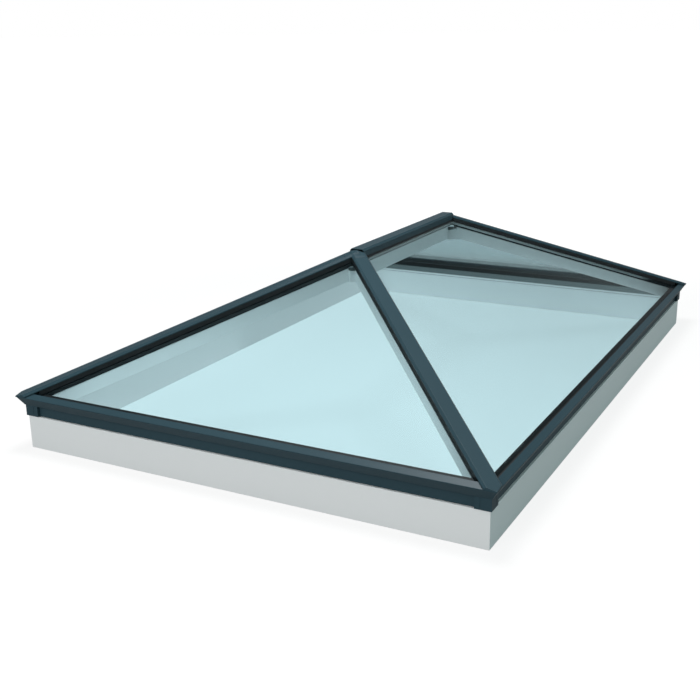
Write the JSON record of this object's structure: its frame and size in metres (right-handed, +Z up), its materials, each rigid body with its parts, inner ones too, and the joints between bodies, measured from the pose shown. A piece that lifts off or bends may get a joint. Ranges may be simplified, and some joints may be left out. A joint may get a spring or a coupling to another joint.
{
  "type": "roof skylight",
  "caption": "Hipped roof lantern skylight: sloping double-glazed panes in a slim slate-coloured frame with hip and ridge caps, on a pale kerb.",
  "frame": {"origin": "middle of the kerb's underside", "axes": "+Z up, +Y along the ridge, a triangular glazed end facing -Y"},
  "size_m": [2.064, 3.064, 0.7268],
  "materials": {
    "kerb": "smooth pale grey paint",
    "seal": "matt black",
    "frame": "satin slate powder coat on aluminium",
    "inside_frame": "satin pale powder coat on aluminium",
    "bare_metal": "mill",
    "glass": "clear, blue-green tint",
    "spacer": "matt black"
  },
  "bodies": {
    "root": {"kerb_front": "kerb", "kerb_right": "kerb", "kerb_back": "kerb", "kerb_left": "kerb", "kerb_seal": "seal", "ring_bed": "seal", "raft_bed": "seal", "ridge_bed": "seal", "ridge_leg": "seal", "bead_front": "seal", "bead_right": "seal", "bead_back": "seal", "bead_left": "seal", "hip_leg_fr": "seal", "hip_leg_br": "seal", "hip_leg_bl": "seal", "hip_leg_fl": "seal", "ring_front": "frame", "ring_right": "frame", "ring_back": "frame", "ring_left": "frame", "eaves_front": "frame", "eaves_right": "frame", "eaves_back": "frame", "eaves_left": "frame", "cover_fr": "frame", "cover_br": "frame", "cover_bl": "frame", "cover_fl": "frame", "hip_cap_fr": "frame", "hip_cap_br": "frame", "hip_cap_bl": "frame", "hip_cap_fl": "frame", "ridge_cap": "frame", "ridge_end_front": "frame", "ridge_end_back": "frame", "raft_fr": "inside_frame", "raft_br": "inside_frame", "raft_bl": "inside_frame", "raft_fl": "inside_frame", "ridge_beam": "inside_frame", "boss_front": "inside_frame", "boss_back": "inside_frame", "corner_cleat": "bare_metal", "inner_front": "glass", "inner_right": "glass", "inner_back": "glass", "inner_left": "glass", "outer_front": "glass", "outer_right": "glass", "outer_back": "glass", "outer_left": "glass", "spacer_front": "spacer", "spacer_right": "spacer", "spacer_back": "spacer", "spacer_left": "spacer"}
  },
  "joints": []
}
